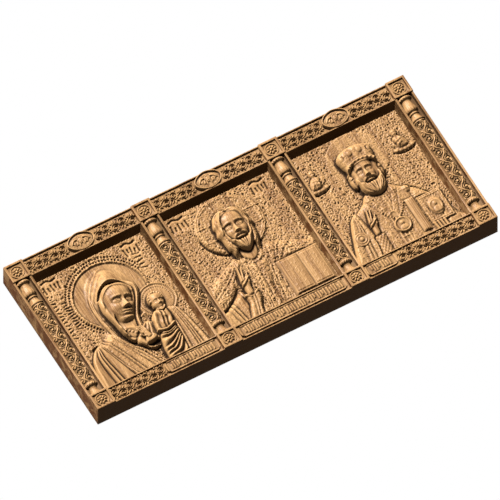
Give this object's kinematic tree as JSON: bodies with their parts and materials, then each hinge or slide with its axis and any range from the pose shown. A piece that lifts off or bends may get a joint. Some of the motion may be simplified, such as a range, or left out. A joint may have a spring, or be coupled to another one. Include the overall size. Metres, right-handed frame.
{
  "type": "triptych altarpiece",
  "caption": "Carved wooden triptych in one board: saints in low relief in sunken fields between half-round colonettes, under friezes with winged-head ovals.",
  "frame": {"origin": "centre of the flat back, which is the bottom of the bounding box with the panel lying face up", "axes": "+X along the long side, from the first picture to the last; +Y towards the top of the pictures; +Z out of the carved face"},
  "size_m": [0.46, 0.192, 0.0295],
  "materials": {
    "wood": "oiled, satin"
  },
  "bodies": {
    "root": {"triptych_board": "wood"}
  },
  "joints": []
}
